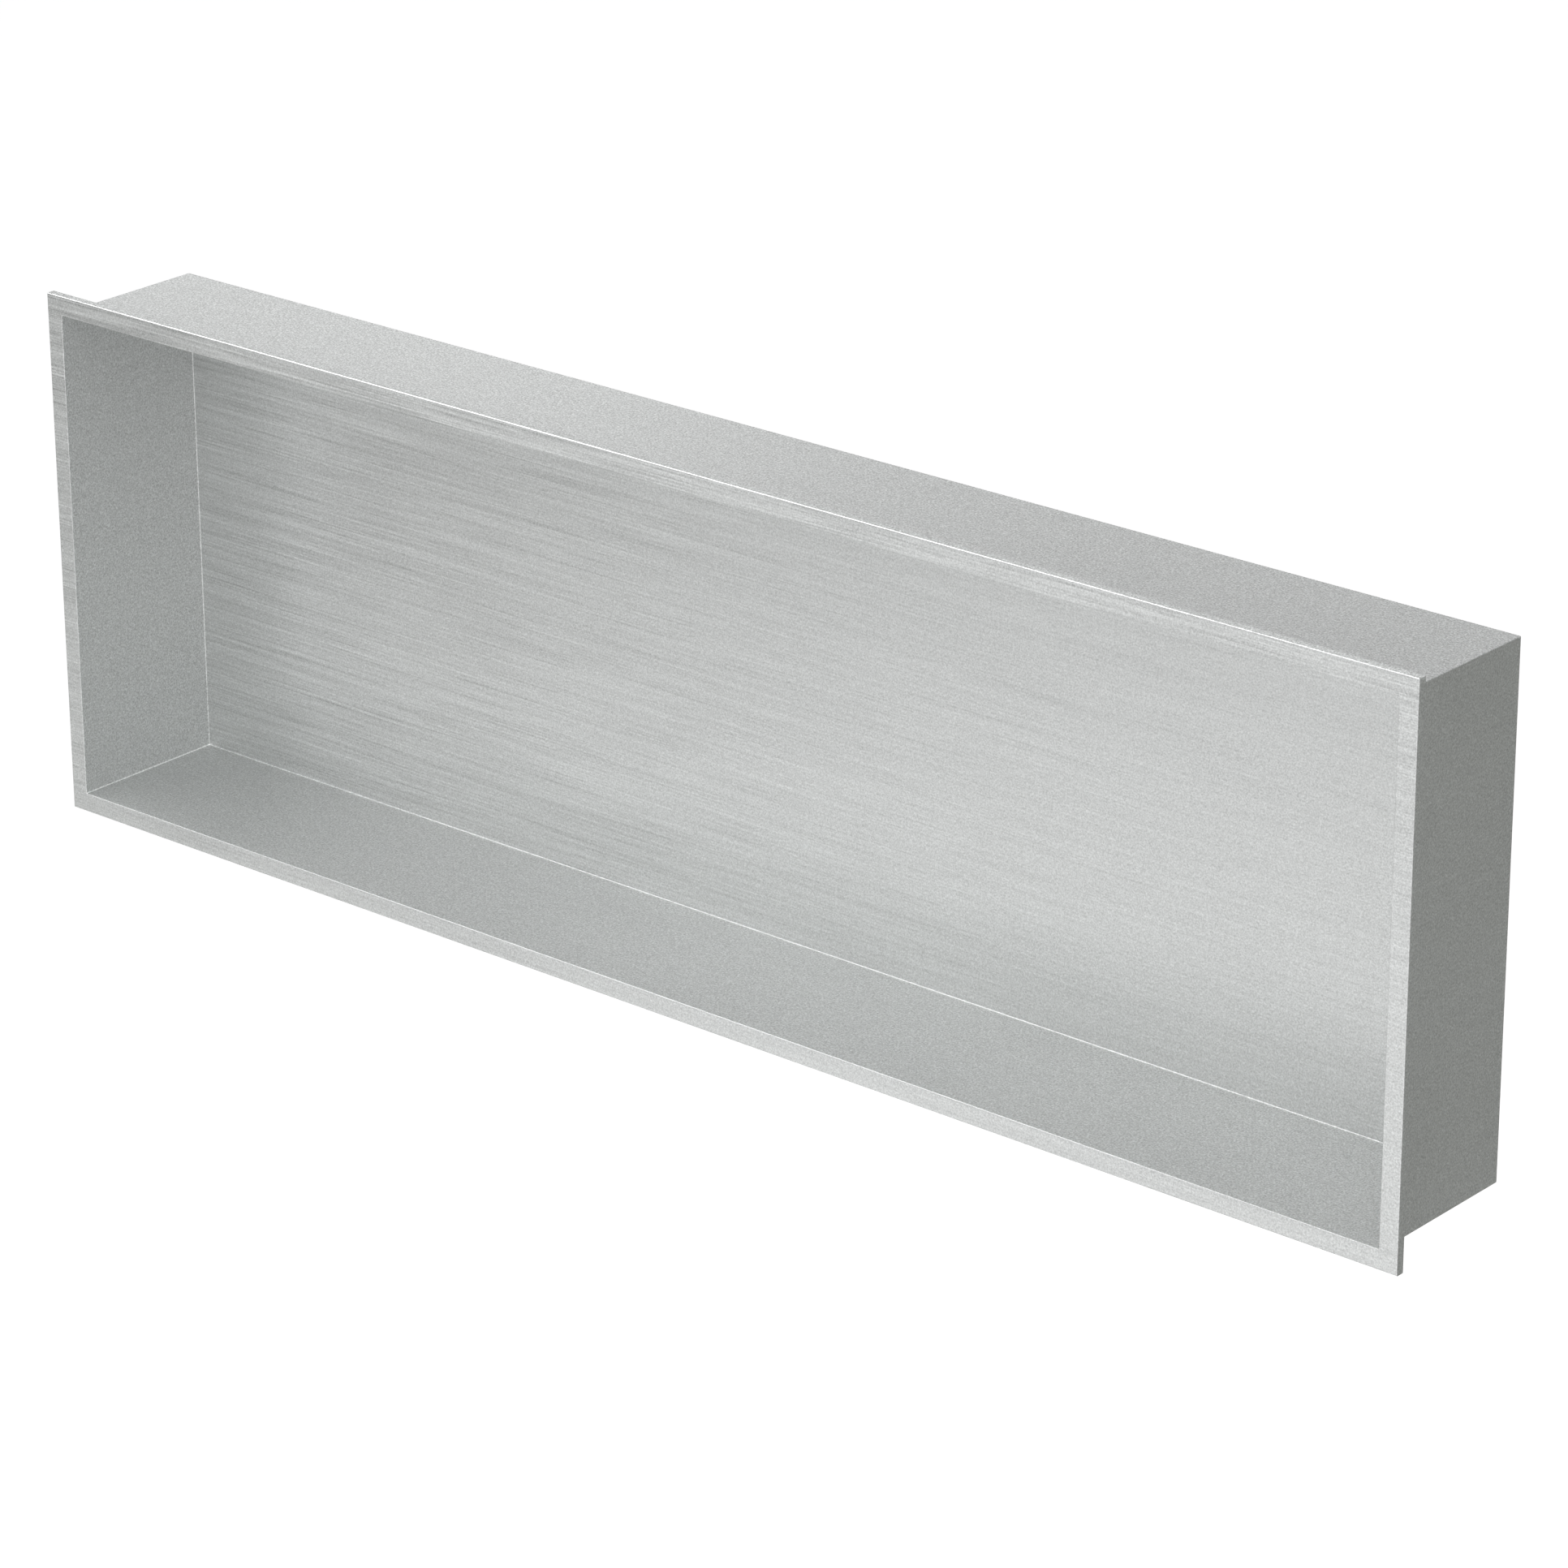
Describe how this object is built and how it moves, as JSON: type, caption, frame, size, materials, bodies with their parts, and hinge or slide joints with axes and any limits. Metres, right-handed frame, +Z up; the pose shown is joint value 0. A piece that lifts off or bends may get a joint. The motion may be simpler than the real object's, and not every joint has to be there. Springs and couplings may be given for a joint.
{
  "type": "shower niche insert",
  "caption": "Wide, shallow box of brushed stainless sheet with a narrow folded flange round its open front, let into a tiled shower wall as a shelf.",
  "frame": {"origin": "centre of the niche on the finished wall, which the rear edge of the flange's lip lies on", "axes": "+X along the width, to the right as seen from the room; +Y into the wall; +Z up"},
  "size_m": [0.914, 0.098, 0.305],
  "materials": {
    "steel": "brushed satin stainless"
  },
  "bodies": {
    "root": {"niche_body": "steel"}
  },
  "joints": []
}
